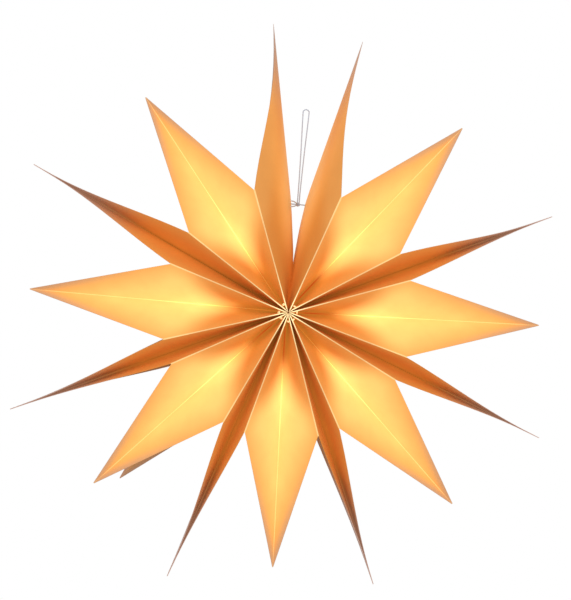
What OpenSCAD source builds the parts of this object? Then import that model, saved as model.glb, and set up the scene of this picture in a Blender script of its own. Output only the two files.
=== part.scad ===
// Paper star of seven gusseted bags, glued side by side, fanned into a ring and tied at the top.
// It faces -Y and hangs from the top of its string loop, which is the origin. Units are mm.

/* [Bags] */
// Length of a bag from the hub to its pointed tip
tip_length = 300; // [260:1:340]
// Length of a bag's side folds, up to where the slanting cut starts
side_length = 123; // [110:1:140]
// Width of a flat bag, which becomes the depth of the star
bag_width = 150; // [130:1:170]
// Depth of the gusset folded into each side of a bag
gusset_depth = 56; // [50:1:62]
// Thickness of the paper
paper_thickness = 0.4; // [0.25:0.05:0.6]
// Height of the folded and glued bottom of a bag
bottom_fold = 5; // [4:0.5:8]
// Width of the bottom's flap, which shows as a small bar across each gusset near the hub
flap_width = 8; // [4:1:14]

/* [Fan] */
// Direction of each bag, clockwise from straight up, as the star was opened by hand
bag_turn = [38.6, 88, 134.2, 178.2, 223.6, 270.2, 321.6];
// Direction of the middle line of each panel pair, from the first free end panel to the last
seam_turn = [11.1, 65.5, 111.4, 157, 199, 245.5, 295.4, 352.8];
// How far the back of each bag is turned from its front
back_turn = [0, 0, 0, 0, -4.3, 0, 0];
// Angle between the two side folds of each bag's gussets
gusset_open = [38.2, 35.8, 34.6, 34.3, 36.2, 35.1, 36.3];
// How much shorter the tip of each panel pair was cut
tip_trim = [6, 0, 0, 0, 0, 0, 0, 0];
// Width of the glued strip down the middle of each panel
glue_strip = 8; // [4:1:20]

/* [String] */
// Thickness of the string
string_d = 1.2; // [0.8:0.1:1.6]
// Distance of the tie from the hub
tie_r = 112.5; // [100:0.5:120]
// Direction of the tie, clockwise from straight up
tie_turn = 2; // [0:0.5:4]
// Distance between the middle lines of the two free end panels at the tie
tie_gap = 13.5; // [10:0.5:18]
// How far from the hub the two free end panels part
part_r = 52; // [30:1:70]
// Height of the hanging loop above the tie
loop_height = 100; // [80:1:140]
// Punched holes for the string
hole_d = 3; // [2.5:0.1:4]

/* [Hidden] */

bags = len(bag_turn);
last = bags - 1;
half_width = bag_width / 2;
half_glue = glue_strip / 2;
tie_half = asin(tie_gap / 2 / tie_r);

// How far a bottom flap is from the hub and from the side folds, and the rows of facets at flap and tie
flap_r = bottom_fold + 4;
flap_share = (flap_r - bottom_fold) / (side_length - bottom_fold);
part_share = (part_r - bottom_fold) / (tip_length - bottom_fold);
tie_share = (tie_r - bottom_fold) / (tip_length - bottom_fold);
flap_inset = 3;

// Glue between two bags, inside gap of a fold, radius at the hub, and facets along and across a panel
glue_film = 0.05;
fold_gap = 0.2;
hub_r = 1;
stations = 9;
steps = 4;

// Length of a gusset's middle crease, and how far the crease leans out of the star's plane
crease_length = side_length + (tip_length - side_length) * gusset_depth / half_width;
flat_lean = gusset_depth / side_length;
function half_open(i) = gusset_open[i] / 2;
function lean(i) = asin((flat_lean - cos(half_open(i)) * sqrt(pow(flat_lean, 2) - pow(sin(half_open(i)), 2)))
    / (pow(flat_lean, 2) + pow(cos(half_open(i)), 2)));

// Half of the loop above the tie: how far out and how high, in shares of the loop's own size
loop_half_width = 2.6 * string_d;
loop_route = [[0.3, 0], [0.32, 0.15], [0.4, 0.3], [0.5, 0.45], [0.62, 0.6], [0.76, 0.74], [0.88, 0.85]];
knot_d = 4.4;
stop_d = 4;

// How sharply a panel bends away from its middle line: glued ones, and the first and last free one
glued_bend = 2.2;
free_bend = [3.2, 2.4];

// A point in direction turn at radius r, moved clockwise by aside, depth in front of the star's middle
function spot(turn, r, aside, depth) =
    [r * sin(turn) + aside * cos(turn), -depth, r * cos(turn) - aside * sin(turn)];

// A side of a bag is -1 before its axis and 1 after it, and a face is 1 in front and -1 behind
function is_free(i, side) = side < 0 ? i == 0 : i == last;
function pair(i, side) = side < 0 ? i : i + 1;
function seam(i, side) = seam_turn[pair(i, side)];
function axis_turn(i, face) = bag_turn[i] + (face > 0 ? 0 : back_turn[i]);
function fold_turn(i, side, face) = axis_turn(i, face) + side * half_open(i);
function cut_length(i, side, depth) =
    let (tip = tip_length - tip_trim[pair(i, side)]) tip - (tip - side_length) * abs(depth) / half_width;
function station_share(k) = k < 5 ? [0, 0, flap_share, part_share, tie_share][k]
    : tie_share + (1 - tie_share) * (k - 4) / (stations - 4);
function station_r(k, length) = k == 0 ? hub_r : bottom_fold + (length - bottom_fold) * station_share(k);

// The middle line of a free end panel, as radius and direction: straight to where the two part, on to its
// side of the tie, then to its tip
function free_route(side) = concat(
    [[0, 0], [side < 0 ? tie_r : part_r, tie_turn + tie_half]],
    side < 0 ? [] : [[tie_r, tie_turn - tie_half]],
    [[tip_length - tip_trim[side < 0 ? 0 : bags], seam_turn[side < 0 ? 0 : bags]]]);
function free_turn(side, r) =
    let (route = free_route(side))
    (side < 0 ? 0 : 360) + atan2(
        lookup(r, [for (p = route) [p[0], p[0] * sin(p[1])]]),
        lookup(r, [for (p = route) [p[0], p[0] * cos(p[1])]]));
function middle_turn(i, side, k) =
    is_free(i, side) ? free_turn(side, station_r(k, cut_length(i, side, 0))) : seam(i, side);
function panel_turn(i, side, face, v, k) =
    let (middle = middle_turn(i, side, k), bend = is_free(i, side) ? free_bend[side < 0 ? 0 : 1] : glued_bend)
    middle + (fold_turn(i, side, face) - middle) * pow(v, bend);

// Width of a folded edge: two papers and the gap between them, less near the hub where there is no room
function fold_width(i, r) = min(2 * paper_thickness + fold_gap, 0.8 * r * sin(half_open(i)));
function crease_half(i, r) = min(fold_gap / 2, 0.1 * r * sin(half_open(i)));

// A panel curves from its glued strip (v = 0) to a side fold (v = 1); inner is 0 outside and 1 inside
function panel_point(i, side, face, v, k, inner) =
    let (depth = half_glue + v * (half_width - half_glue), r = station_r(k, cut_length(i, side, depth)))
    spot(panel_turn(i, side, face, v, k), r, -side * (glue_film / 2 + paper_thickness * inner),
        face * (depth - (v == 1 ? paper_thickness * inner : 0)));
function middle_point(i, side, k, inner) =
    spot(middle_turn(i, side, k), station_r(k, cut_length(i, side, 0)),
        -side * (glue_film / 2 + paper_thickness * inner), 0);

// A gusset half runs straight from its side fold (u = 0) to the crease in the middle (u = 1)
function gusset_spot(i, side, face, u, r, q, inner) =
    let (
        axis = axis_turn(i, face),
        fold = spot(fold_turn(i, side, face), r, -side * (fold_width(i, r) - paper_thickness * inner),
            face * (half_width - paper_thickness * inner)),
        crease = spot(axis, q * cos(lean(i)), side * (crease_half(i, r) + paper_thickness * inner),
            face * (half_width - gusset_depth + q * sin(lean(i)) - paper_thickness * inner))
    )
    fold * (1 - u) + crease * u;
function gusset_point(i, side, face, u, k, inner) =
    gusset_spot(i, side, face, u, station_r(k, side_length), station_r(k, crease_length), inner);

// The lines of one quarter of a bag, from its glued strip round the side fold to the crease
function quarter(i, side, face, k, inner) = concat(
    [for (s = [0:steps]) panel_point(i, side, face, s / steps, k, inner)],
    [for (s = [0:steps]) gusset_point(i, side, face, s / steps, k, inner)]);
function backwards(list) = [for (j = [len(list) - 1:-1:0]) list[j]];
function section(i, k, inner) = concat(
    [middle_point(i, -1, k, inner)],
    quarter(i, -1, 1, k, inner),
    backwards(quarter(i, 1, 1, k, inner)),
    [middle_point(i, 1, k, inner)],
    quarter(i, 1, -1, k, inner),
    backwards(quarter(i, -1, -1, k, inner)));

// Faces between two rows of points, and across one closed section
around = 8 * (steps + 1) + 2;
function quad(a, b, c, d) = [[a, b, c], [a, c, d]];
function band(a, b) = [for (j = [0:around - 1]) let (n = (j + 1) % around)
    each quad(a + j, b + j, b + n, a + n)];
function ear(strip, crease, way) = [for (s = [0:steps - 1])
    each quad(strip + way * s, strip + way * (s + 1), crease - way * (s + 1), crease - way * s)];
half_way = around / 2;
side_lines = 2 * (steps + 1);
function lid(a) = concat(
    ear(a + 1, a + side_lines, 1),
    ear(a + side_lines + 1, a + half_way - 1, 1),
    ear(a + half_way + 1, a + half_way + side_lines, 1),
    ear(a + half_way + side_lines + 1, a + around - 1, 1),
    quad(a + 1, a + side_lines, a + side_lines + 1, a + half_way - 1),
    quad(a, a + 1, a + half_way - 1, a + half_way),
    quad(a, a + half_way, a + half_way + 1, a + around - 1),
    quad(a + half_way + 1, a + half_way + side_lines, a + half_way + side_lines + 1, a + around - 1));
function turned(faces) = [for (f = faces) [f[0], f[2], f[1]]];

// One bag: an outer skin from the hub to the cut, an inner skin from its bottom fold to the cut
module bag_paper(i) {
    inner_start = stations + 1;
    points = concat(
        [for (k = [0:stations]) each section(i, k, 0)],
        [for (k = [1:stations]) each section(i, k, 1)]);
    faces = concat(
        [for (k = [0:stations - 1]) each band(k * around, (k + 1) * around)],
        [for (k = [inner_start:inner_start + stations - 2]) each turned(band(k * around, (k + 1) * around))],
        band(stations * around, (inner_start + stations - 1) * around),
        lid(0),
        turned(lid(inner_start * around)));
    polyhedron(points, faces, convexity = 10);
}

// The string's holes are level with each other, on the middle lines of the two free end panels
function hole_at(i, side) =
    let (line = [for (k = [1:stations]) middle_point(i, side, k, 0.5)])
    [lookup(tie_r, [for (p = line) [p[2], p[0]]]), 0, tie_r];
hole_right = hole_at(0, -1);
hole_left = hole_at(last, 1);
knot = (hole_right + hole_left) / 2;
hang_point = knot + [0, 0, loop_height];

module punch(at) {
    translate(at) rotate([0, 90, 0]) cylinder(d = hole_d, h = 4, center = true, $fn = 24);
}

// A bar of the folded bottom across the gusset, from the middle of one paper to the middle of the other
function flap_point(i, face, side, inset, r) =
    let (share = (r - bottom_fold) / (side_length - bottom_fold))
    gusset_spot(i, side, face, inset / gusset_depth, r, bottom_fold + share * (crease_length - bottom_fold),
        0.5);
module flap(i, face) {
    rows = [flap_r - paper_thickness, flap_r + paper_thickness];
    points = [for (r = rows, inset = [flap_inset, flap_inset + flap_width], side = [-1, 1])
        flap_point(i, face, side, inset, r)];
    faces = [each quad(0, 1, 3, 2), each quad(4, 6, 7, 5), each quad(0, 4, 5, 1),
        each quad(2, 3, 7, 6), each quad(0, 2, 6, 4), each quad(1, 5, 7, 3)];
    polyhedron(points, face > 0 ? faces : turned(faces), convexity = 2);
}

module bag(i) {
    translate(-hang_point) difference() {
        union() {
            bag_paper(i);
            flap(i, 1);
            flap(i, -1);
        }
        if (i == 0) punch(hole_right);
        if (i == last) punch(hole_left);
    }
}

// Rings of eight points along a route that stays in the plane of the tie
function ring(p, way) = [for (a = [0:45:315]) p + string_d / 2
    * (cos(a) * [way[2], 0, -way[0]] + sin(a) * [0, 1, 0])];
function unit(v) = v / norm(v);
module tube(route) {
    count = len(route);
    points = [for (k = [0:count - 1]) each ring(route[k],
        unit(route[min(k + 1, count - 1)] - route[max(k - 1, 0)]))];
    sides = [for (k = [0:count - 2], j = [0:7]) let (n = (j + 1) % 8)
        each quad(8 * k + j, 8 * k + 8 + j, 8 * k + 8 + n, 8 * k + n)];
    ends = [[for (j = [0:7]) j], [for (j = [7:-1:0]) 8 * (count - 1) + j]];
    polyhedron(points, concat(sides, ends), convexity = 6);
}

// A smooth line through the route's points, each stretch cut into parts
function smooth(p, parts) = concat([for (k = [0:len(p) - 2], s = [0:parts - 1])
    let (a = p[max(k - 1, 0)], b = p[k], c = p[k + 1], d = p[min(k + 2, len(p) - 1)], t = s / parts)
    0.5 * (2 * b + (c - a) * t + (2 * a - 5 * b + 4 * c - d) * t * t + (3 * b - 3 * c + d - a) * t * t * t)],
    [p[len(p) - 1]]);

module hanging_loop() {
    foot = knot_d / 2 + 0.1;
    top = loop_height - string_d / 2 - loop_half_width;
    rise = [for (p = loop_route) [p[0] * loop_half_width, 0, foot + p[1] * (top - foot)]];
    bend = [for (a = [0:30:180]) [loop_half_width * cos(a), 0, top + loop_half_width * sin(a)]];
    fall = [for (p = backwards(rise)) [-p[0], 0, p[2]]];
    color("white") translate(knot - hang_point) tube(concat(smooth(concat(rise, [bend[0]]), 3),
        [for (k = [1:5]) bend[k]], smooth(concat([bend[6]], fall), 3)));
}

// The tie: a straight string through both holes, a knot in its middle and a stop knot inside each end bag
module tie_string() {
    along = unit(hole_left - hole_right);
    reach = norm(hole_left - hole_right) / 2 + paper_thickness + 0.1 + stop_d / 2;
    color("white") translate(knot - hang_point) rotate([0, atan2(along[0], along[2]), 0]) {
        cylinder(d = string_d, h = 2 * reach, center = true, $fn = 24);
        sphere(d = knot_d, $fn = 24);
        for (way = [-1, 1]) translate([0, 0, way * reach]) sphere(d = stop_d, $fn = 24);
    }
}

module bag_1() color("goldenrod") bag(0);
module bag_2() color("goldenrod") bag(1);
module bag_3() color("goldenrod") bag(2);
module bag_4() color("goldenrod") bag(3);
module bag_5() color("goldenrod") bag(4);
module bag_6() color("goldenrod") bag(5);
module bag_7() color("goldenrod") bag(6);

bag_1();
bag_2();
bag_3();
bag_4();
bag_5();
bag_6();
bag_7();
tie_string();
hanging_loop();
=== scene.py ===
"""Star of seven gusseted paper bags, fanned into a ring and hung on a loop of cotton string."""
import math

import bpy
import numpy as np
from bpy.props import FloatProperty, FloatVectorProperty, IntProperty, PointerProperty
from bpy.types import Operator, Panel, PropertyGroup
from mathutils import Matrix, Vector


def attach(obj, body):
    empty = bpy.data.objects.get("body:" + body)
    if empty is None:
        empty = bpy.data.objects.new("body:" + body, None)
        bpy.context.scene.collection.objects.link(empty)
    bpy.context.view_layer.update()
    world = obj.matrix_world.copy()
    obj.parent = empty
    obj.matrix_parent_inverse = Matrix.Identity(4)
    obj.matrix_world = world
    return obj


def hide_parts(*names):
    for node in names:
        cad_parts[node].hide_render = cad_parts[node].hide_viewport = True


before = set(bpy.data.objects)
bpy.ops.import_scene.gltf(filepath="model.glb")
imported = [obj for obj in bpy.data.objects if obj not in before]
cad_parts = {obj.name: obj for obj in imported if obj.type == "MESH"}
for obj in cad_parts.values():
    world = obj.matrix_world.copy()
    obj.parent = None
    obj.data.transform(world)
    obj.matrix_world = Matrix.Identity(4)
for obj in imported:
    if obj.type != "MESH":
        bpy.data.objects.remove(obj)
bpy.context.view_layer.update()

bl_info = {
    "name": "Paper Bag Star",
    "version": (1, 0, 0),
    "blender": (4, 5, 0),
    "location": "View3D > Sidebar > Paper Star",
    "description": "Builds a hanging star of gusseted paper bags, its string and a plain stage",
    "category": "Add Mesh",
}

# Settings

# Number of bags in the ring
BAGS = 7
# Millimetres in a metre
MM = 1000.0
# What each point of a bag tells its material
VALUES = ("across", "along", "share", "free", "inside", "begin")
# Directions of the points round a punched hole, in radians
EIGHTHS = np.radians(np.arange(0, 360, 45))
# Reach of the rounding where a free panel's middle line bends, in metres
FREE_ROUND = 0.014
# Radii of the knot in the middle and of the stop knots behind the holes, in metres
KNOT, STOP_KNOT = 0.0023, 0.002
# Place of a stop knot, as a share of the way to its hole
STOP_PLACE = 1.27
# Points of a loose tail from the knot: how far right, back, away from the other tail, and down
TAIL = ((-0.0010, -0.0008, 0.0006, 0.0), (-0.0034, -0.0055, 0.0019, 0.0004),
        (-0.0060, -0.0140, 0.0027, 0.0012), (-0.0084, -0.0260, 0.0029, 0.0026))


class StarShape(PropertyGroup):
    """Sizes of the bags and how far each one is turned; lengths in metres, turns in degrees."""

    tip_length: FloatProperty(
        name="Tip length", description="From the hub to a bag's pointed tip", default=0.300, unit="LENGTH")
    side_length: FloatProperty(
        name="Side length", description="Length of a side fold, up to the slanting cut", default=0.123,
        unit="LENGTH")
    half_width: FloatProperty(
        name="Half width", description="Half the width of a flat bag", default=0.075, unit="LENGTH")
    gusset: FloatProperty(
        name="Gusset depth", description="How deep each side is folded in", default=0.056, unit="LENGTH")
    paper: FloatProperty(
        name="Paper", description="Thickness of the paper", default=0.0004, unit="LENGTH")
    fold_gap: FloatProperty(
        name="Fold gap", description="Space left inside a fold", default=0.0002, unit="LENGTH")
    glue_film: FloatProperty(
        name="Glue film", description="Glue between two bags", default=0.00005, unit="LENGTH")
    half_glue: FloatProperty(
        name="Half glue strip", description="Half the glued strip's width", default=0.004, unit="LENGTH")
    bottom_fold: FloatProperty(
        name="Bottom fold", description="Height of the folded bottom", default=0.005, unit="LENGTH")
    flap_in: FloatVectorProperty(
        name="Flap", description="How deep in a gusset the bottom's flap starts and ends", size=2,
        unit="LENGTH", default=(0.003, 0.011))
    flap_rise: FloatProperty(
        name="Flap rise", description="From the bottom fold to the flap", default=0.004, unit="LENGTH")
    flap_paper: FloatProperty(
        name="Flap paper", description="Thickness of the folded flap", default=0.0012, unit="LENGTH")
    flap_bow: FloatProperty(
        name="Flap bow", description="How far the flap bows to the hub", default=0.0005, unit="LENGTH")
    hub: FloatProperty(
        name="Hub", description="Radius at which the bags start", default=0.001, unit="LENGTH")
    bag_turn: FloatVectorProperty(
        name="Bags", description="Direction of each bag, clockwise from up", size=BAGS,
        default=(38.6, 88.0, 134.2, 178.2, 223.6, 270.2, 321.6))
    gusset_open: FloatVectorProperty(
        name="Openings", description="Angle between the two side folds of each gusset", size=BAGS,
        default=(38.2, 35.8, 34.6, 34.3, 36.2, 35.1, 36.3))
    back_turn: FloatVectorProperty(
        name="Backs", description="Turn of each bag's back from its front", size=BAGS,
        default=(0.0, 0.0, 0.0, 0.0, -4.3, 0.0, 0.0))
    seam_turn: FloatVectorProperty(
        name="Seams", description="Direction of the middle line of each panel pair", size=BAGS + 1,
        default=(11.1, 65.5, 111.4, 157.0, 199.0, 245.5, 295.4, 352.8))
    tip_trim: FloatVectorProperty(
        name="Trims", description="How much shorter each panel pair's tip is", size=BAGS + 1, unit="LENGTH",
        default=(0.006, 0.0, 0.0, 0.0, 0.0, 0.0, 0.0, 0.0))
    # Share of each crease at which its painted shade gives way to a painted pale highlight
    crease_highlight_start: FloatVectorProperty(
        name="Worn creases", description="Share of each gusset's crease at which its pale line starts",
        size=BAGS, default=(0.22, 0.18, 0.08, 0.22, 0.18, 0.06, 0.08))
    tie_r: FloatProperty(
        name="Tie radius", description="From the hub to the tie", default=0.1125, unit="LENGTH")
    tie_turn: FloatProperty(name="Tie", description="Direction of the tie", default=2.0)
    tie_gap: FloatProperty(
        name="Tie gap", description="Between the free panels at the tie", default=0.0135, unit="LENGTH")
    part_r: FloatProperty(
        name="Parting", description="Where the two free panels part", default=0.052, unit="LENGTH")
    free_bend: FloatVectorProperty(
        name="Free bends", description="How sharply the first and last panel bend", size=2,
        default=(3.2, 2.4))
    glued_bend: FloatProperty(name="Bend", description="How sharply a glued panel bends", default=2.2)
    panel_cells: IntProperty(name="Cells across", description="Cells across a panel", default=12)
    length_cells: IntProperty(name="Cells along", description="Cells along a bag", default=43)


class StarString(PropertyGroup):
    """The cotton string: its thickness, the tie and the hanging loop, in metres."""

    diameter: FloatProperty(
        name="Thickness", description="Thickness of the string", default=0.0012, unit="LENGTH")
    plies: IntProperty(name="Plies", description="Plies that the string is twisted from", default=3)
    twist: FloatProperty(
        name="Twist", description="Length of one full turn of the plies", default=0.0048, unit="LENGTH")
    hole: FloatProperty(
        name="Hole", description="Diameter of a punched hole", default=0.003, unit="LENGTH")
    loop_height: FloatProperty(
        name="Loop height", description="From the knot to the top of the loop", default=0.100,
        unit="LENGTH")
    loop_half: FloatProperty(
        name="Loop half width", description="Half the loop's width at its top", default=0.00312,
        unit="LENGTH")


class StarLooks(PropertyGroup):
    """Colours of the paper, its painted glow and shade, and the string, as linear red, green and blue."""

    paper: FloatVectorProperty(
        name="Paper", description="Gold paper", size=3, subtype="COLOR", default=(0.83, 0.305, 0.056))
    # Pale fold colour: wear on the side folds, and also painted light along the creases and on the folds
    # near the hub
    fold: FloatVectorProperty(
        name="Folds", description="Paper worn pale along its folds", size=3, subtype="COLOR",
        default=(0.98, 0.76, 0.38))
    # Painted shade: the colour that darkens the creases near the hub
    shade: FloatVectorProperty(
        name="Creases", description="Depth of the creases near the hub", size=3, subtype="COLOR",
        default=(0.62, 0.18, 0.020))
    # Painted shade: the grey tone that the tips are painted with
    tip: FloatVectorProperty(
        name="Tips", description="Greyed paper at the tips", size=3, subtype="COLOR",
        default=(0.44, 0.285, 0.24))
    glow: FloatVectorProperty(
        name="Glow", description="Light that shines through the gussets", size=3, subtype="COLOR",
        default=(0.80, 0.735, 0.25))
    warm: FloatVectorProperty(
        name="Warmth", description="Light that reaches through the deep folds", size=3, subtype="COLOR",
        default=(0.165, 0.112, 0.0175))
    hub: FloatVectorProperty(
        name="Hub light", description="Yellow added to the light on the gussets near the hub", size=3,
        subtype="COLOR", default=(0.0, 0.045, 0.004))
    side: FloatVectorProperty(
        name="End panels", description="Light through the two free end panels", size=3, subtype="COLOR",
        default=(0.13, 0.165, 0.068))
    grey: FloatVectorProperty(
        name="Tip light", description="Light through the narrow tips", size=3, subtype="COLOR",
        default=(0.12, 0.072, 0.06))
    deep: FloatVectorProperty(
        name="Deep light", description="Light low between the end panels", size=3, subtype="COLOR",
        default=(0.085, 0.028, 0.004))
    core: FloatVectorProperty(
        name="Crease light", description="Light in the creases near the hub", size=3, subtype="COLOR",
        default=(0.20, 0.036, 0.003))
    string: FloatVectorProperty(
        name="String", description="Pale cotton", size=3, subtype="COLOR", default=(0.50, 0.58, 0.70))
    # Painted shade deep in the grooves between the plies
    groove: FloatVectorProperty(
        name="Grooves", description="Cotton deep between the plies", size=3, subtype="COLOR",
        default=(0.2, 0.19, 0.18))
    floor: FloatVectorProperty(
        name="Floor", description="Pale floor", size=3, subtype="COLOR", default=(0.9, 0.9, 0.89))
    floor_mottle: FloatVectorProperty(
        name="Floor mottle", description="Darker patches of the floor", size=3, subtype="COLOR",
        default=(0.86, 0.86, 0.85))


class StarStage(PropertyGroup):
    """Camera, floor and light; the camera looks at the star's middle."""

    distance: FloatProperty(
        name="Distance", description="From the star's middle to the camera", default=1.0114, unit="LENGTH")
    lens: FloatProperty(name="Lens", description="Focal length in mm", default=58.22)
    yaw: FloatProperty(name="Yaw", description="Turn to the side", default=-2.702)
    pitch: FloatProperty(name="Pitch", description="Tilt", default=0.26)
    roll: FloatProperty(name="Roll", description="Turn about the line of sight", default=5.0)
    slide: FloatVectorProperty(
        name="Slide", description="Move of the camera right and up", size=2, unit="LENGTH",
        default=(0.00081, 0.01215))
    floor_radius: FloatProperty(
        name="Floor radius", description="Radius of the round floor", default=1.3, unit="LENGTH")
    floor_height: FloatProperty(
        name="Floor height", description="Height of the floor", default=-1.15, unit="LENGTH")
    sky: FloatProperty(name="Sky", description="Strength of the even light", default=0.72)
    key: FloatProperty(name="Key", description="Power of the front soft box in watts", default=11.0)
    fill: FloatProperty(name="Fill", description="Share of that power in the side soft box", default=0.45)
    box: FloatProperty(name="Soft box", description="Side of a soft box", default=1.2, unit="LENGTH")


# Shader wires


class Wire:
    """A node's output that takes part in sums like a number."""

    def __init__(self, tree, socket):
        self.tree, self.socket = tree, socket

    def node(self, kind, inputs, output=0, **settings):
        """Add a node, set or link each input by its name or place, and return one output."""
        made = self.tree.nodes.new(kind)
        for name, value in settings.items():
            setattr(made, name, value)
        for place, value in inputs.items():
            if isinstance(value, Wire):
                self.tree.links.new(value.socket, made.inputs[place])
            else:
                made.inputs[place].default_value = value
        return Wire(self.tree, made.outputs[output])

    def math(self, operation, first, second=0.0):
        """One sum of two values or wires."""
        return self.node("ShaderNodeMath", {0: first, 1: second}, operation=operation)

    def __add__(self, other):
        return self.math("ADD", self, other)

    def __sub__(self, other):
        return self.math("SUBTRACT", self, other)

    def __rsub__(self, other):
        return self.math("SUBTRACT", other, self)

    def __mul__(self, other):
        return self.math("MULTIPLY", self, other)

    def __truediv__(self, other):
        return self.math("DIVIDE", self, other)

    def __pow__(self, other):
        return self.math("POWER", self, other)

    def __abs__(self):
        return self.math("ABSOLUTE", self)

    __radd__ = __add__
    __rmul__ = __mul__

    def above(self, low):
        """The greater of this and low."""
        return self.math("MAXIMUM", self, low)

    def below(self, high):
        """The lesser of this and high."""
        return self.math("MINIMUM", self, high)

    def rise(self, start, end):
        """0 before start, 1 after end, smooth between them."""
        return self.node("ShaderNodeMapRange", {0: self, 1: start, 2: end, 3: 0.0, 4: 1.0},
                         interpolation_type="SMOOTHSTEP")

    def colours(self, share, first, second, kind="MIX"):
        """First where share is 0; where it is 1, second, or first with second added or multiplied in."""
        first, second = (c if isinstance(c, Wire) else (*c, 1.0) for c in (first, second))
        return self.node("ShaderNodeMix", {0: share, 6: first, 7: second}, output=2, data_type="RGBA",
                         blend_type=kind)

    def mix(self, first, second):
        """A colour: first where this is 0, second where it is 1."""
        return self.colours(self, first, second)

    def noise(self, place, scale, detail=3.0):
        """Soft noise from 0 to 1 at a place."""
        return self.node("ShaderNodeTexNoise", {"Vector": place, "Scale": scale, "Detail": detail})

    def place(self, x, y, z):
        """A vector of three values."""
        return self.node("ShaderNodeCombineXYZ", {0: x, 1: y, 2: z})

    def value(self, name):
        """The value of that name that a mesh's points carry."""
        return self.node("ShaderNodeAttribute", {}, output=2, attribute_name=name)

    def spot(self):
        """The place on the object, in its own metres."""
        return self.node("ShaderNodeTexCoord", {}, output="Object")

    def bump(self, strength, distance, height):
        """A normal tilted by a height, with distance in metres."""
        return self.node("ShaderNodeBump", {"Strength": strength, "Distance": distance, "Height": height})


def material(name):
    """A new principled material; returns it, its shader and a wire to build from."""
    made = bpy.data.materials.new(name)
    made.use_nodes = True
    tree = made.node_tree
    shader = next(n for n in tree.nodes if n.type == "BSDF_PRINCIPLED")
    return made, shader, Wire(tree, None)


def joined(shader, **wires):
    """Link wires to the shader's inputs; an underscore stands for a space."""
    for name, wire in wires.items():
        wire.tree.links.new(wire.socket, shader.inputs[name.replace("_", " ")])


# Materials


class Sheet:
    """A bag's paper as wires: what its points carry, and the parts of the sheet that this marks out.

    across is the distance in mm from a gusset's crease round the sheet, with the side fold at fold, and
    along the distance in mm from the hub. share is how far up the sheet a point lies, from 0 at the bottom
    fold to 1 at the cut. free is 1 on the two end panels, inside is 1 on the inner skin, and begin is the
    share at which a crease's painted shade ends and its painted pale highlight starts."""

    def __init__(self, w, fold):
        self.w = w
        self.across, self.along, self.share, self.free, self.inside, self.begin = map(w.value, VALUES)
        self.outside = 1.0 - self.inside
        self.glued = 1.0 - self.free

        # From 0 on a gusset's crease to 1 on the side fold, then the panel, the gusset and the fold itself
        self.out = (self.across / fold).below(1.0)
        self.panel = self.across.rise(fold + 0.6, fold + 1.2)
        self.gusset = 1.0 - self.panel
        self.edge = 1.0 - abs(self.across - fold).rise(0.45, 0.95)

        # Painted shade deep in a crease near the hub, and the tips of the gussets and those of the panels,
        # which take painted grey
        crease_shade = (1.0 - (self.across * self.along).rise(70.0, 260.0)) * self.share.rise(0.03, 0.07)
        self.crease_shade = crease_shade * (1.0 - self.share.rise(self.begin - 0.09, self.begin))
        self.point = self.gusset * self.share.rise(0.88, 1.02) * self.along.rise(140.0, 235.0)
        self.narrow = 0.95 * self.panel * (self.along - 45.0 * self.free).rise(150.0, 262.0)

        # Fibres that run up the sheet, its cloudy look against light, and its fine grain
        place = w.place(self.across, self.along, self.inside * 50.0)
        self.fibre = w.noise(w.place(self.across * 0.9, self.along * 0.16, self.inside * 9.0), 1.6, 4.0)
        self.cloud = w.noise(place, 0.045, 3.0)
        self.grain = w.noise(place, 0.9, 2.0)


def paper_light(s, looks):
    """Painted light: an emission colour that stands in for the light that the paper passes on.

    The glow starts on a gusset's crease a quarter of the way out, its edge moves outward towards the side
    folds, and it fades to the tip. A dim warm light fills the valleys between the panels and the gussets
    near the hub, a yellower one the two end panels, and a grey one the narrow tips."""
    even = (1.0 - 0.7 * s.inside) * (0.86 + 0.28 * s.cloud)

    # Gussets
    start = 0.25 + 0.13 * s.out + 0.50 * s.out ** 3.0
    spread = 0.1 + 0.12 * s.out
    lit = ((s.share - start) / spread).rise(-1.0, 1.0)
    fade = (1.32 - 1.30 * s.share.above(0.36)).above(0.0) + 0.14 * s.share.rise(0.5, 0.75)
    glow = lit * fade * s.gusset * even * (1.0 - 0.45 * s.point)
    hub = (1.0 - s.out) * (1.0 - s.share.rise(0.24, 0.40)) * (1.0 - 0.9 * s.crease_shade)

    # Panels: dimmer at the side fold, low in the seam and far out
    near = s.across.rise(96.0, 124.0)
    outer = s.along.rise(150.0, 195.0) * s.glued * (1.0 - near)
    reach = 0.3 + 0.4 * s.share.rise(0.05, 0.45) - 0.5 * s.share.rise(0.55, 0.95)
    seam = s.across.rise(118.0, 126.5) * s.glued * (1.0 - s.share.rise(0.4, 0.65))
    valley = s.panel * reach * (1.0 - 0.6 * outer) * (1.0 - 0.85 * seam)
    valley = valley * (0.12 + 0.88 * s.across.rise(62.0, 104.0))

    # End panels: their middle, then their outer edge, and low down where they part
    middle = s.across.rise(74.0, 108.0) * (s.share.rise(0.16, 0.45) - 0.95 * s.share.rise(0.5, 0.8))
    edge = s.share.rise(0.55, 0.8) * (1.0 - s.across.rise(88.0, 118.0))
    ends = s.free * (middle + 0.4 * edge)
    deep = s.free * s.across.rise(62.0, 100.0) * (1.0 - s.share.rise(0.06, 0.26))

    # Painted light on the side folds near the hub
    folds = s.edge * s.outside * (1.0 - s.along.rise(6.0, 24.0))
    light = glow.mix((0.0, 0.0, 0.0), looks.glow)
    for part, colour in (
            (hub.above(valley * (1.0 - 0.75 * ends)), looks.warm),
            (ends, looks.side),
            (hub * s.out.rise(0.1, 0.45), looks.hub),
            (s.narrow * near * s.glued, looks.grey),
            (deep, looks.deep),
            (0.5 * folds, looks.fold),
            (s.crease_shade * s.gusset, looks.core)):
        light = s.w.colours(part * even, light, colour, "ADD")
    return light


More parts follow.
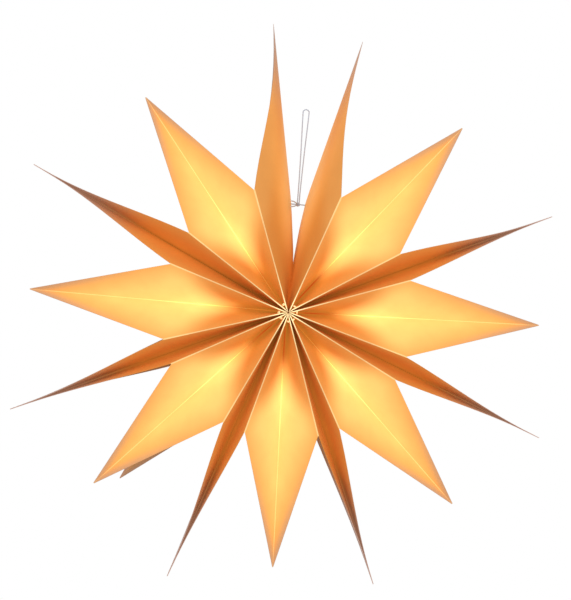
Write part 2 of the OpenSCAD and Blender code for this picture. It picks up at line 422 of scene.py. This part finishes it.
def paper_colour(s, looks):
    """Gold paper with a little tone from its fibres, and painted shade that darkens its inner skin.

    It has painted shade that greys the tips and deepens the creases near the hub, is worn pale along the
    side folds, and from begin on has a painted pale highlight along the creases."""
    worn = s.edge * (0.75 + 0.5 * s.fibre).below(1.0) * s.outside * (1.0 - 0.45 * s.share.rise(0.12, 0.4))
    # Painted highlight along a crease from begin on
    crease = (1.0 - s.across.rise(0.35, 0.9)) * s.share.rise(s.begin - 0.05, s.begin + 0.05)
    crease = crease * s.outside * (1.0 - 0.6 * s.point) * (1.0 - 0.5 * s.share.rise(0.4, 0.6))
    # Painted shade: the inner skin darker, and the end panels darker towards their side folds
    tone = (0.93 + 0.1 * s.fibre + 0.06 * (s.cloud - 0.5)).below(1.0) * (1.0 - 0.4 * s.inside)
    tone = tone * (1.0 - 0.14 * s.free * (1.0 - s.across.rise(70.0, 100.0)))
    colour = s.w.colours(1.0, looks.paper, s.w.place(tone, tone, tone), "MULTIPLY")
    # Painted shade that greys the tips
    colour = s.narrow.above(0.6 * s.point).mix(colour, looks.tip)
    # Painted shade deep in the creases near the hub
    colour = s.crease_shade.mix(colour, looks.shade)
    # Pale along the side folds from wear, and along the creases as a painted highlight
    return worn.above(0.8 * crease).mix(colour, looks.fold)


def gold_paper(looks, shape):
    """Thin gold paper with a painted glow that stands in for the light it lets through, and fine fibres in
    its surface.
    """
    made, shader, w = material("gold_paper")
    s = Sheet(w, shape.gusset * MM)
    joined(shader, Base_Color=paper_colour(s, looks), Emission_Color=paper_light(s, looks),
           Roughness=0.55 + 0.16 * s.fibre, Normal=w.bump(0.18, 0.0003, 0.5 * s.fibre + 0.35 * s.grain))
    shader.inputs["Emission Strength"].default_value = 1.0
    shader.inputs["Specular IOR Level"].default_value = 0.3
    return made


def cotton(looks):
    """Twisted pale cotton: fine fuzz, and painted shade in the grooves between its plies."""
    made, shader, w = material("string")
    fuzz = w.noise(w.spot(), 2600.0)
    # Painted shade: darker deep in the grooves between the plies
    shade = (0.9 + 0.2 * fuzz) * (1.0 - 0.28 * w.value("groove"))
    joined(shader, Base_Color=shade.below(1.0).mix(looks.groove, looks.string),
           Roughness=0.8 + 0.15 * fuzz, Normal=w.bump(0.4, 0.0001, fuzz))
    shader.inputs["Sheen Weight"].default_value = 0.2
    return made


def floor_paint(looks):
    """A pale floor, faintly mottled."""
    made, shader, w = material("floor")
    joined(shader, Base_Color=w.noise(w.spot(), 40.0).mix(looks.floor_mottle, looks.floor))
    shader.inputs["Roughness"].default_value = 0.8
    return made


# Places on the star


def spot(turn, r, aside, depth):
    """Radius r in direction turn, clockwise from up, then aside clockwise and depth to the front."""
    t = np.radians(turn)
    return np.stack(np.broadcast_arrays(
        r * np.sin(t) + aside * np.cos(t), -depth, r * np.cos(t) - aside * np.sin(t)), axis=-1)


def tie_half(shape):
    """Half the angle between the free panels at the tie: its sine is half the gap over the radius."""
    return math.degrees(math.asin(shape.tie_gap / 2 / shape.tie_r))


def is_free(side, i):
    """Whether a bag's panel is one of the two end panels: the first bag's first or the last bag's last."""
    return i == (0 if side < 0 else BAGS - 1)


def seam_of(side, i):
    """Number of the seam that a bag's panel lies at."""
    return i if side < 0 else i + 1


def axis_turn(shape, i, face):
    """Direction of a bag, with its own turn added at the back."""
    return shape.bag_turn[i] + (shape.back_turn[i] if face < 0 else 0.0)


def fold_turn(shape, i, side, face):
    """Direction of a side fold: half the opening beside the bag's own direction."""
    return axis_turn(shape, i, face) + side * shape.gusset_open[i] / 2


def free_turn(shape, side, r):
    """Direction of a free panel's middle line at radius r.

    The line runs straight from the hub to where the two panels part, past its side of the tie and on to its
    tip; each point is the mean of the straight lines over FREE_ROUND either way, which rounds the bends."""
    seam = 0 if side < 0 else BAGS
    stops = [(0.0, shape.tie_turn + tie_half(shape)),
             (shape.tie_r if side < 0 else shape.part_r, shape.tie_turn + tie_half(shape))]
    if side > 0:
        stops.append((shape.tie_r, shape.tie_turn - tie_half(shape)))
    stops.append((shape.tip_length - shape.tip_trim[seam], shape.seam_turn[seam]))
    far, turn = np.array(stops).T
    near = np.minimum(np.minimum(r, far[-1] - r), FREE_ROUND)
    at = r[..., None] + near[..., None] * np.linspace(-1.0, 1.0, 15)
    x, z = (np.interp(at, far, far * wave(np.radians(turn))).mean(-1) for wave in (np.sin, np.cos))
    return np.degrees(np.arctan2(x, z)) + (0.0 if side < 0 else 360.0)


def middle_turn(shape, i, side, r):
    """Direction of a panel's middle line at each radius r: its seam's, or the free panel's own."""
    if is_free(side, i):
        return free_turn(shape, side, r)
    return np.full_like(r, shape.seam_turn[seam_of(side, i)])


def panel_turn(shape, i, side, face, v, middle):
    """A panel's direction: the middle line's at the strip, its fold's at the side fold, by a power of v."""
    bend = shape.free_bend[0 if side < 0 else 1] if is_free(side, i) else shape.glued_bend
    return middle + (fold_turn(shape, i, side, face) - middle) * v ** bend


def cut_length(shape, i, side, depth):
    """A panel's length at a depth: falls evenly from its tip to the side fold's length."""
    tip = shape.tip_length - shape.tip_trim[seam_of(side, i)]
    return tip - (tip - shape.side_length) * np.abs(depth) / shape.half_width


def crease_length(shape):
    """Length of a gusset's crease, cut by the same slant as the panels."""
    return shape.side_length + (shape.tip_length - shape.side_length) * shape.gusset / shape.half_width


def fold_width(shape):
    """Width of a side fold: two papers and the gap between them."""
    return 2 * shape.paper + shape.fold_gap


def strip_across(shape):
    """Distance round the sheet from a gusset's crease to the middle of the panel."""
    return shape.gusset + fold_width(shape) / 2 + shape.half_width


def panel_aside(shape, side, inner):
    """How far a panel's skin lies beside its middle line: half the glue film, and the paper if inner."""
    return -side * (shape.glue_film / 2 + (shape.paper if inner else 0.0))


def lean(shape, i):
    """How far a gusset's crease leans out of the star's plane for its side folds to open as they do.

    It is the angle at which a side fold's end is as far from the crease as on the flat sheet."""
    flat, b = shape.gusset / shape.side_length, math.radians(shape.gusset_open[i] / 2)
    return math.asin((flat - math.cos(b) * math.sqrt(flat ** 2 - math.sin(b) ** 2))
                     / (flat ** 2 + math.cos(b) ** 2))


def row_shares(shape):
    """How far up the sheet each row lies: one row for the bottom, then even steps to the cut."""
    return np.concatenate([[0.0], np.linspace(0.0, 1.0, shape.length_cells + 1)])


def row_radii(shape, length):
    """Each row's distance from the hub: where the bags start, then from the bottom fold to the cut."""
    r = shape.bottom_fold + (length - shape.bottom_fold) * row_shares(shape)
    r[..., 0] = shape.hub
    return r


def tie_holes(shape):
    """The two punched holes about the star's middle, level on the middle lines of the free panels."""
    holes = []
    for side in (-1, 1):
        r = np.linspace(0.9, 1.2, 121) * shape.tie_r
        line = spot(free_turn(shape, side, r), r, -side * (shape.glue_film + shape.paper) / 2, 0.0)
        holes.append(np.array((np.interp(shape.tie_r, line[:, 2], line[:, 0]), 0.0, shape.tie_r)))
    return holes


def star_middle(shape, string):
    """Where the star's middle is: the tie's knot is one loop height below the origin."""
    a, b = tie_holes(shape)
    return -((a + b) / 2 + np.array((0.0, 0.0, string.loop_height)))


# Bags


def new_piece(name, points, faces, values, paint, sharp=None):
    """A mesh piece with smooth faces, per-point values for its material and its sharp edges."""
    mesh = bpy.data.meshes.new(name)
    mesh.from_pydata(points.tolist(), [], faces)
    for key, numbers in values.items():
        mesh.attributes.new(key, "FLOAT", "POINT").data.foreach_set("value", numbers.astype(np.float32))
    mesh.polygons.foreach_set("use_smooth", np.ones(len(mesh.polygons), bool))
    if sharp is not None:
        ends = np.empty(2 * len(mesh.edges), np.int32)
        mesh.edges.foreach_get("vertices", ends)
        marks = sharp(ends.reshape(-1, 2))
        mesh.attributes.new("sharp_edge", "BOOLEAN", "EDGE").data.foreach_set("value", marks)
    mesh.materials.append(paint)
    mesh.update()
    made = bpy.data.objects.new(name, mesh)
    bpy.context.scene.collection.objects.link(made)
    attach(made, "root")
    return made


def quarter(shape, i, side, face, inner):
    """One quarter of a bag, from the glued strip round a side fold to the gusset's crease.

    Columns run across the sheet and rows from the hub to the cut. The panel bends from the strip to the
    fold, the fold is a half circle as wide as two papers and their gap, and the gusset is straight from the
    fold to the crease. Near the hub the fold and the crease narrow with the room that the opening leaves.
    Returns points, and across, along, share and free for each."""
    cells = shape.panel_cells + 1
    turn = fold_turn(shape, i, side, face)
    r_fold = row_radii(shape, np.array([[shape.side_length]]))
    room = r_fold * math.sin(math.radians(shape.gusset_open[i] / 2))
    width = np.minimum(fold_width(shape), 0.8 * room)

    v = np.linspace(0.0, 1.0, cells)[:, None]
    depth = shape.half_glue + v * (shape.half_width - shape.half_glue)
    r_panel = row_radii(shape, cut_length(shape, i, side, depth))
    r_middle = row_radii(shape, cut_length(shape, i, side, np.zeros((1, 1))))
    bent = panel_turn(shape, i, side, face, v, middle_turn(shape, i, side, r_middle))
    drop = np.where(v == 1.0, shape.paper if inner else width / 2, 0.0)
    panel = spot(bent, r_panel, panel_aside(shape, side, inner), face * (depth - drop))

    t = np.array([0.25, 0.5, 0.75])[:, None]
    if inner:
        aside = shape.paper + (width - 2 * shape.paper) * t
        top = shape.half_width - shape.paper + shape.fold_gap / 2 * np.sin(np.pi * t)
    else:
        aside = width / 2 * (1 - np.cos(np.pi * t))
        top = shape.half_width - width / 2 * (1 - np.sin(np.pi * t))
    fold = spot(turn, r_fold + 0 * t, -side * aside, face * top)

    tilt = lean(shape, i)
    r_crease = row_radii(shape, np.array([[crease_length(shape)]]))
    gap = np.minimum(shape.fold_gap / 2, 0.1 * room)
    skin = shape.paper if inner else 0.0
    first = spot(turn, r_fold, -side * width, face * (shape.half_width - width / 2))
    last = spot(axis_turn(shape, i, face), r_crease * math.cos(tilt), side * (gap + skin),
                face * (shape.half_width - shape.gusset + r_crease * math.sin(tilt) - skin))
    inward = np.cross(last - first, spot(turn, 1.0, 0.0, 0.0)) * side * face
    first = first + skin * inward / np.linalg.norm(inward, axis=-1, keepdims=True)
    u = np.linspace(0.0, 1.0, cells)[:, None, None]
    gusset = first * (1 - u) + last * u

    half = fold_width(shape) / 2
    across = np.concatenate([
        shape.gusset + half + (1 - v[:, 0]) * (shape.half_width - shape.half_glue),
        shape.gusset + half * (1 - 2 * t[:, 0]),
        (shape.gusset - half) * (1 - u[:, 0, 0])]) * MM
    along = np.concatenate([
        r_panel,
        np.repeat(r_fold, len(t), axis=0),
        r_fold * (1 - u[:, 0]) + r_crease * u[:, 0]]) * MM
    free = np.zeros_like(along)
    free[:cells] = is_free(side, i)
    return (np.concatenate([panel, fold, gusset]), np.broadcast_to(across[:, None], along.shape), along,
            np.broadcast_to(row_shares(shape), along.shape), free)


def middle_line(shape, i, side, inner):
    """The line down the middle of a panel, in the same form as a quarter with one column."""
    r = row_radii(shape, cut_length(shape, i, side, 0.0))
    points = spot(middle_turn(shape, i, side, r), r, panel_aside(shape, side, inner), 0.0)
    across = np.full_like(r, strip_across(shape) * MM)
    free = np.full_like(r, is_free(side, i))
    return [part[None] for part in (points, across, r * MM, row_shares(shape), free)]


def bag_skin(shape, i, inner):
    """One skin of a bag: its columns in order round the bag; returns rows of points and their values."""
    parts = []
    for face in (1, -1):
        parts.append(middle_line(shape, i, -face, inner))
        parts.append(quarter(shape, i, -face, face, inner))
        parts.append([part[::-1] for part in quarter(shape, i, face, face, inner)])
    return [np.swapaxes(np.concatenate(values), 0, 1) for values in zip(*parts)]


def bag_lid(ring, q):
    """Faces that close one ring of points.

    Each quarter of the bag is an ear of q points, an odd number: quads between the two sides of the ear and
    a triangle at its fold. Four faces then fill the middle."""
    faces = []
    half = q // 2
    for start in (1, 1 + q, 2 + 2 * q, 2 + 3 * q):
        ear = ring[start:start + q]
        faces += [(ear[j], ear[j + 1], ear[q - 2 - j], ear[q - 1 - j]) for j in range(half - 1)]
        faces.append(tuple(ear[half - 1:half + 2]))
    return faces + [
        (ring[1], ring[q], ring[q + 1], ring[2 * q]),
        (ring[0], ring[1], ring[2 * q], ring[2 * q + 1]),
        (ring[0], ring[2 * q + 1], ring[2 * q + 2], ring[4 * q + 1]),
        (ring[2 * q + 2], ring[3 * q + 1], ring[3 * q + 2], ring[4 * q + 1])]


def slab(low, high):
    """A closed thin sheet from two grids of points, the faces of both and a rim round them."""
    rows, cols = low.shape[:2]
    grid = np.arange(rows * cols).reshape(rows, cols)
    a, b, c, d = grid[:-1, :-1], grid[1:, :-1], grid[1:, 1:], grid[:-1, 1:]
    under = np.stack([a, b, c, d], axis=-1).reshape(-1, 4)
    edge = np.concatenate([grid[0, :-1], grid[:-1, -1], grid[-1, :0:-1], grid[:0:-1, 0]])
    rim = np.stack([edge, np.roll(edge, -1), np.roll(edge, -1) + rows * cols, edge + rows * cols], axis=-1)
    faces = np.concatenate([under, under[:, ::-1] + rows * cols, rim])
    return np.concatenate([low.reshape(-1, 3), high.reshape(-1, 3)]), faces


def flap(shape, i, face):
    """The folded bottom's flap: a thin bar across a gusset near the hub, bowed a little towards it.

    Its ends lie in the gusset's walls, so they are straight mixes of the side fold's and the crease's
    points. across grows along the bar from the side fold's own value, so that one half of it is worn pale.
    Returns values in the same form as a column of a quarter, and the faces."""
    x = np.linspace(-1.0, 1.0, 9)[:, None, None]
    u = np.linspace(*shape.flap_in, 7)[None, :, None] / shape.gusset
    turn, tilt = axis_turn(shape, i, face), lean(shape, i)
    half_open = math.radians(shape.gusset_open[i] / 2)
    slant = (crease_length(shape) - shape.bottom_fold) / (shape.side_length - shape.bottom_fold)
    skins = []
    for lift in (-shape.flap_paper / 2, shape.flap_paper / 2):
        rise = shape.flap_rise + lift
        r, q = shape.bottom_fold + rise, shape.bottom_fold + rise * slant
        room = r * math.sin(half_open) - fold_width(shape) + shape.paper / 2
        fold = spot(turn, r * math.cos(half_open), x[..., 0] * room, face * shape.half_width)
        crease = spot(turn, q * math.cos(tilt), x[..., 0] * shape.paper / 2,
                      face * (shape.half_width - shape.gusset + q * math.sin(tilt)))
        bow = spot(turn, -shape.flap_bow * (1 - x[..., 0] ** 2), 0.0, 0.0)
        skins.append(fold * (1 - u) + crease * u + bow)
    points, faces = slab(*skins)
    unworn = np.broadcast_to(1.0 + (x if i % 2 else -x), skins[0].shape[:2] + (1,)).ravel()
    across = shape.gusset * MM + 0.55 * np.tile(unworn, 2)
    along = np.full(len(points), (shape.bottom_fold + shape.flap_rise) * MM)
    share = np.full(len(points), shape.flap_rise / (shape.side_length - shape.bottom_fold))
    values = (points, across, along, share, np.zeros(len(points)))
    return values, faces if face > 0 else faces[:, ::-1]


def hole_ring(shape, string, i, inner):
    """Points round the string's hole in a free panel, in the same form as a column of a quarter."""
    side = -1 if i == 0 else 1
    hole = tie_holes(shape)[0 if side < 0 else 1]
    r = np.hypot(hole[0], hole[2]) + string.hole / 2 * np.sin(EIGHTHS)
    depth = string.hole / 2 * np.cos(EIGHTHS)
    points = spot(free_turn(shape, side, r), r, panel_aside(shape, side, inner), depth)
    across = (strip_across(shape) - np.abs(depth)) * MM
    share = (r - shape.bottom_fold) / (cut_length(shape, i, side, 0.0) - shape.bottom_fold)
    return points, across, r * MM, share, np.ones(len(r))


def punch(shape, string, i, skins, grids, quads):
    """Cut the string's hole: the four faces round one point of each skin become eight round a ring.

    The point itself moves onto the ring, the other seven are added, and a wall joins the two rings. Returns
    the rings' values, their indices and the new faces."""
    column = 0 if i == 0 else grids[0].shape[1] // 2
    way = 1 if i == 0 else -1
    count = sum(g.size for g in grids)
    added_points = len(EIGHTHS) - 1
    right, up = (np.round(wave(EIGHTHS)).astype(int) for wave in (np.cos, np.sin))
    rings, marks, added = [], [], []
    for inner, (skin, grid) in enumerate(zip(skins, grids)):
        ring = hole_ring(shape, string, i, inner)
        row = int(np.argmin(np.abs(skin[2][:, column] - ring[2][0])))
        loop = grid[row + up, (column + way * right) % grid.shape[1]]
        mark = np.concatenate([[grid[row, column]], count + np.arange(added_points)])
        count += added_points
        quads = quads[~(quads == mark[0]).any(axis=1)]
        collar = np.stack([loop, np.roll(loop, -1), np.roll(mark, -1), mark], axis=-1)
        added.append(collar[:, ::-1] if (way < 0) != bool(inner) else collar)
        rings.append(ring)
        marks.append(mark)
    wall = np.stack([marks[0], np.roll(marks[0], -1), np.roll(marks[1], -1), marks[1]], axis=-1)
    added.append(wall if way > 0 else wall[:, ::-1])
    return rings, marks, np.concatenate([quads] + added)


def bag_piece(shape, string, middle, i, paint):
    """A bag: an outer skin from the hub to the cut, an inner one from the bottom fold, and the cut edge.

    Each point also has its column and its row. Edges along a fold's column or within the cut's row are
    sharp. The points of holes and flaps have no column and count as the cut's, so all their edges are."""
    outer, inner = bag_skin(shape, i, False), [a[1:] for a in bag_skin(shape, i, True)]
    rows, cols = outer[1].shape
    o = np.arange(rows * cols).reshape(rows, cols)
    n = rows * cols + np.arange((rows - 1) * cols).reshape(rows - 1, cols)

    def band(a, b):
        """Faces between two closed rows of points."""
        return np.stack([a, np.roll(a, -1, -1), np.roll(b, -1, -1), b], axis=-1).reshape(-1, 4)

    def marked(values, inside):
        """Values of a hole's or a flap's points, with their skin, column and row."""
        return [*values, *(np.full(len(values[0]), mark) for mark in (inside, -1, rows - 1))]

    quads = np.concatenate([band(o[:-1], o[1:]), band(n[:-1], n[1:])[:, ::-1], band(o[-1], n[-1])])
    data = [np.concatenate([a.reshape(-1, *a.shape[2:]), b.reshape(-1, *b.shape[2:])])
            for a, b in zip(outer, inner)]
    data.append(np.repeat([0.0, 1.0], [o.size, n.size]))
    data.append(np.tile(np.arange(cols), 2 * rows - 1))
    data.append(np.repeat(np.concatenate([np.arange(rows), np.arange(1, rows)]), cols))
    if i in (0, BAGS - 1):
        rings, marks, quads = punch(shape, string, i, (outer, inner), (o, n), quads)
        for inside, (ring, mark) in enumerate(zip(rings, marks)):
            for k, values in enumerate(marked(ring, inside)):
                data[k][mark[0]] = values[0]
                data[k] = np.concatenate([data[k], values[1:]])

    # Points in an ear of the lid: a panel's and a gusset's columns and the three of the fold between them
    q = 2 * (shape.panel_cells + 1) + 3
    faces = quads.tolist() + [f[::-1] for f in bag_lid(o[0].tolist(), q)] + bag_lid(n[0].tolist(), q)
    for face in (1, -1):
        values, strip = flap(shape, i, face)
        faces += (strip + len(data[0])).tolist()
        data = [np.concatenate([a, b]) for a, b in zip(data, marked(values, 0.0))]
    points, *values, column, row = data
    values.append(np.full(len(points), shape.crease_highlight_start[i]))

    # Columns of the folds in an ear: both sides of the side fold, and the crease
    bends = np.array([shape.panel_cells, shape.panel_cells + 4, q - 1])
    folds = np.concatenate([
        1 + bends, 1 + q + (q - 1 - bends), 2 + 2 * q + bends, 2 + 3 * q + (q - 1 - bends)])

    def sharp(ends):
        """Which edges, given by their two points, are sharp."""
        a, b = ends.T
        on_fold = (column[a] == column[b]) & np.isin(column[a], folds)
        return on_fold | ((row[a] == rows - 1) & (row[b] == rows - 1))

    made = new_piece(f"paper_bag_{i + 1}", points + middle, faces, dict(zip(VALUES, values)), paint,
                     sharp)
    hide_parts(f"bag_{i + 1}")


# String


def sweep(string, path, across, radius, closed=False):
    """A string of twisted plies along a path.

    Each ring is a circle whose radius goes from 0.74 of the given one between the plies to 1.04 on them,
    and it turns once every twist. across is a direction that the rings are built from, one for the whole
    path or one for each point. Returns points, faces and how deep in a groove each point lies."""
    ahead = np.gradient(path, axis=0)
    if closed:
        ahead = np.roll(path, -1, axis=0) - np.roll(path, 1, axis=0)
    ahead /= np.linalg.norm(ahead, axis=1, keepdims=True)
    right = np.cross(ahead, across)
    right /= np.linalg.norm(right, axis=1, keepdims=True)
    up = np.cross(right, ahead)
    step = np.linalg.norm(np.diff(path, axis=0), axis=1)
    gone = np.concatenate([[0.0], np.cumsum(step)])[:, None]
    sides = 5 * string.plies
    a = np.linspace(0.0, 2 * np.pi, sides, endpoint=False)[None, :]
    wave = np.abs(np.sin(string.plies / 2 * (a - 2 * np.pi * gone / string.twist)))
    size = radius * (0.74 + 0.3 * wave)
    points = path[:, None] + size[..., None] * (np.cos(a)[..., None] * right[:, None]
                                                + np.sin(a)[..., None] * up[:, None])
    grid = np.arange(len(path) * sides).reshape(len(path), sides)
    if closed:
        grid = np.concatenate([grid, grid[:1]])
    a0, a1 = grid[:-1], grid[1:]
    faces = np.stack([a0, a1, np.roll(a1, -1, 1), np.roll(a0, -1, 1)], axis=-1).reshape(-1, 4).tolist()
    if not closed:
        faces += [grid[0].tolist(), grid[-1, ::-1].tolist()]
    return points.reshape(-1, 3), faces, (1.0 - wave).ravel()


def even(path, step):
    """Points at even steps along a smooth line through the given ones, and the line's length.

    Between two points the line is the cubic whose slope at each is half the way between its neighbours."""
    p = np.asarray(path, float)
    ends = np.concatenate([[2 * p[0] - p[1]], p, [2 * p[-1] - p[-2]]])
    t = np.linspace(0.0, 1.0, 24, endpoint=False)[:, None]
    a, b, c, d = (ends[k:len(ends) - 3 + k][:, None] for k in range(4))
    line = 0.5 * (2 * b + (c - a) * t + (2 * a - 5 * b + 4 * c - d) * t ** 2
                  + (3 * b - 3 * c + d - a) * t ** 3)
    line = np.concatenate([line.reshape(-1, 3), p[-1:]])
    gone = np.concatenate([[0.0], np.cumsum(np.linalg.norm(np.diff(line, axis=0), axis=1))])
    at = np.linspace(0.0, gone[-1], max(int(gone[-1] / step), 4))
    return np.stack([np.interp(at, gone, line[:, k]) for k in range(3)], axis=1), gone[-1]


def knot_coil(size, tube):
    """A trefoil: a point goes three times round a ring's tube while it goes twice round the ring."""
    t = np.linspace(0.0, 2 * np.pi, 120, endpoint=False)
    ring = 2.0 + np.cos(3 * t)
    path = np.stack([ring * np.cos(2 * t), 0.9 * np.sin(3 * t), ring * np.sin(2 * t)], axis=1)
    return path * (size - tube) / 3.0


def string_route(string, hole):
    """The string's middle line about the knot: hole, knot, up one strand, round the top and down again.

    rise gives a strand by shares of the loop's half width and height, run the way from a hole to the knot
    by shares of it and a lift, and beside is the point next to the knot."""
    half = string.loop_half
    top = string.loop_height - string.diameter / 2 - half
    rise = [(0.3, 0.0), (0.32, 0.15), (0.4, 0.3), (0.5, 0.45), (0.62, 0.6), (0.76, 0.74), (0.88, 0.85)]
    run = [(1.25, 0.0), (1.0, 0.0), (0.6, 0.0), (0.3, 0.0001)]
    beside = (0.0013, 0.0009)
    strand = [(x * half, KNOT + s * (top - KNOT)) for x, s in rise]
    bend = [(half * math.cos(a), top + half * math.sin(a)) for a in np.radians(np.arange(0, 181, 30))]
    flat = [(k * hole[0], k * hole[2] + z) for k, z in run] + [beside] + strand + bend
    flat += [(-x, z) for x, z in reversed([beside] + strand)]
    flat += [(-k * hole[0], -k * hole[2] + z) for k, z in reversed(run)]
    return np.array([(x, 0.0, z) for x, z in flat])


# Operators


class STAR_OT_camera(Operator):
    """Place the camera where the photograph was taken from."""

    bl_idname = "star.camera"
    bl_label = "Camera"

    def execute(self, context):
        stage = context.scene.star_stage
        data = bpy.data.cameras.new("camera")
        data.lens, data.sensor_width, data.clip_end = stage.lens, 36.0, 50.0
        camera = bpy.data.objects.new("camera", data)
        context.scene.collection.objects.link(camera)
        turn = (Matrix.Rotation(math.radians(stage.yaw), 3, "Z")
                @ Matrix.Rotation(math.radians(90.0 + stage.pitch), 3, "X")
                @ Matrix.Rotation(math.radians(stage.roll), 3, "Z"))
        middle = Vector(star_middle(context.scene.star_shape, context.scene.star_string))
        place = middle + turn @ Vector((*stage.slide, stage.distance))
        camera.matrix_world = Matrix.Translation(place) @ turn.to_4x4()
        context.scene.camera = camera
        return {"FINISHED"}


class STAR_OT_string(Operator):
    """Twist the cotton string through both holes, with its loop, knots and tails."""

    bl_idname = "star.string"
    bl_label = "String"

    def execute(self, context):
        shape, string = context.scene.star_shape, context.scene.star_string
        paint = cotton(context.scene.star_looks)
        radius = string.diameter / 2
        depth = np.array((0.0, 1.0, 0.0))
        right, left = tie_holes(shape)
        hole = (right - left) / 2
        knot = np.array((0.0, 0.0, -string.loop_height))
        path, length = even(string_route(string, hole) + knot, step=0.00035)
        points, faces, groove = sweep(string, path, depth, radius)
        loop = new_piece("string_loop", points, faces, {"groove": groove}, paint)

        parts = []
        stop = hole * STOP_PLACE
        for centre, size in ((knot, KNOT), (knot + stop, STOP_KNOT), (knot - stop, STOP_KNOT)):
            coil = knot_coil(size, radius)
            parts.append(sweep(string, coil + centre, -coil + 1e-6, radius, closed=True))
        for way in (1.0, -1.0):
            tail = np.array([(x, y, way * apart - down) for x, y, apart, down in TAIL])
            line, _ = even(tail + knot, step=0.0003)
            parts.append(sweep(string, line, depth, 0.94 * radius))
        count, all_faces = 0, []
        for part_points, part_faces, _ in parts:
            all_faces += [[k + count for k in f] for f in part_faces]
            count += len(part_points)
        knots = new_piece("string_knots", np.concatenate([p[0] for p in parts]), all_faces,
                          {"groove": np.concatenate([p[2] for p in parts])}, paint)
        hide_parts("hanging_loop")
        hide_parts("tie_string")
        return {"FINISHED"}


class STAR_OT_bags(Operator):
    """Fold the seven paper bags."""

    bl_idname = "star.bags"
    bl_label = "Bags"

    def execute(self, context):
        shape, string = context.scene.star_shape, context.scene.star_string
        paint = gold_paper(context.scene.star_looks, shape)
        for i in range(BAGS):
            bag_piece(shape, string, star_middle(shape, string), i, paint)
        return {"FINISHED"}


class STAR_OT_stage(Operator):
    """Lay a pale floor and put soft light round the star."""

    bl_idname = "star.stage"
    bl_label = "Stage"

    def execute(self, context):
        stage, scene = context.scene.star_stage, context.scene
        scene.view_settings.view_transform = "Standard"
        middle = Vector(star_middle(scene.star_shape, scene.star_string))

        t = np.linspace(0.0, 2 * np.pi, 64, endpoint=False)
        ring = np.stack([stage.floor_radius * np.cos(t), stage.floor_radius * np.sin(t),
                         np.full_like(t, stage.floor_height)], axis=1)
        mesh = bpy.data.meshes.new("floor")
        mesh.from_pydata(ring.tolist(), [], [list(range(len(t)))])
        mesh.materials.append(floor_paint(scene.star_looks))
        floor = bpy.data.objects.new("floor", mesh)
        scene.collection.objects.link(floor)

        world = bpy.data.worlds.new("studio")
        world.use_nodes = True
        scene.world = world
        tree = world.node_tree
        back = next(n for n in tree.nodes if n.type == "BACKGROUND")
        w = Wire(tree, None)
        camera, glossy, through = (w.node("ShaderNodeLightPath", {}, output=f"Is {kind} Ray")
                                   for kind in ("Camera", "Glossy", "Transmission"))
        seen = camera.above(glossy).above(through)
        joined(back, Strength=seen + (1.0 - seen) * stage.sky)
        back.inputs["Color"].default_value = (1.0, 1.0, 1.0, 1.0)

        for name, at, power in (("key", (-0.5, -1.5, 0.9), stage.key),
                                ("fill", (0.9, -1.3, -0.2), stage.key * stage.fill)):
            data = bpy.data.lights.new(name, "AREA")
            data.energy, data.size = power, stage.box
            lamp = bpy.data.objects.new(name, data)
            scene.collection.objects.link(lamp)
            lamp.location = middle + Vector(at)
            lamp.rotation_euler = (-Vector(at)).to_track_quat("-Z", "Y").to_euler()
        return {"FINISHED"}


class STAR_PT_panel(Panel):
    """Buttons and settings for the star."""

    bl_idname = "STAR_PT_panel"
    bl_label = "Paper Star"
    bl_space_type = "VIEW_3D"
    bl_region_type = "UI"
    bl_category = "Paper Star"

    def draw(self, context):
        for made in OPERATORS:
            self.layout.operator(made.bl_idname)
        for group in (getattr(context.scene, name) for name in GROUPS):
            column = self.layout.column()
            for name in group.bl_rna.properties.keys():
                if name not in ("rna_type", "name"):
                    column.prop(group, name)


GROUPS = {
    "star_shape": StarShape,
    "star_string": StarString,
    "star_looks": StarLooks,
    "star_stage": StarStage,
}
OPERATORS = (STAR_OT_camera, STAR_OT_string, STAR_OT_bags, STAR_OT_stage)
CLASSES = (*GROUPS.values(), *OPERATORS, STAR_PT_panel)


def register():
    """Add the classes, and each group of settings to the scene."""
    for made in CLASSES:
        bpy.utils.register_class(made)
    for name, group in GROUPS.items():
        setattr(bpy.types.Scene, name, PointerProperty(type=group))


def unregister():
    """Take the groups and the classes away again."""
    for name in GROUPS:
        delattr(bpy.types.Scene, name)
    for made in reversed(CLASSES):
        bpy.utils.unregister_class(made)


def main():
    """Build the whole scene."""
    register()
    bpy.ops.star.camera()
    bpy.ops.star.string()
    bpy.ops.star.bags()
    bpy.ops.star.stage()


if __name__ == "__main__":
    main()
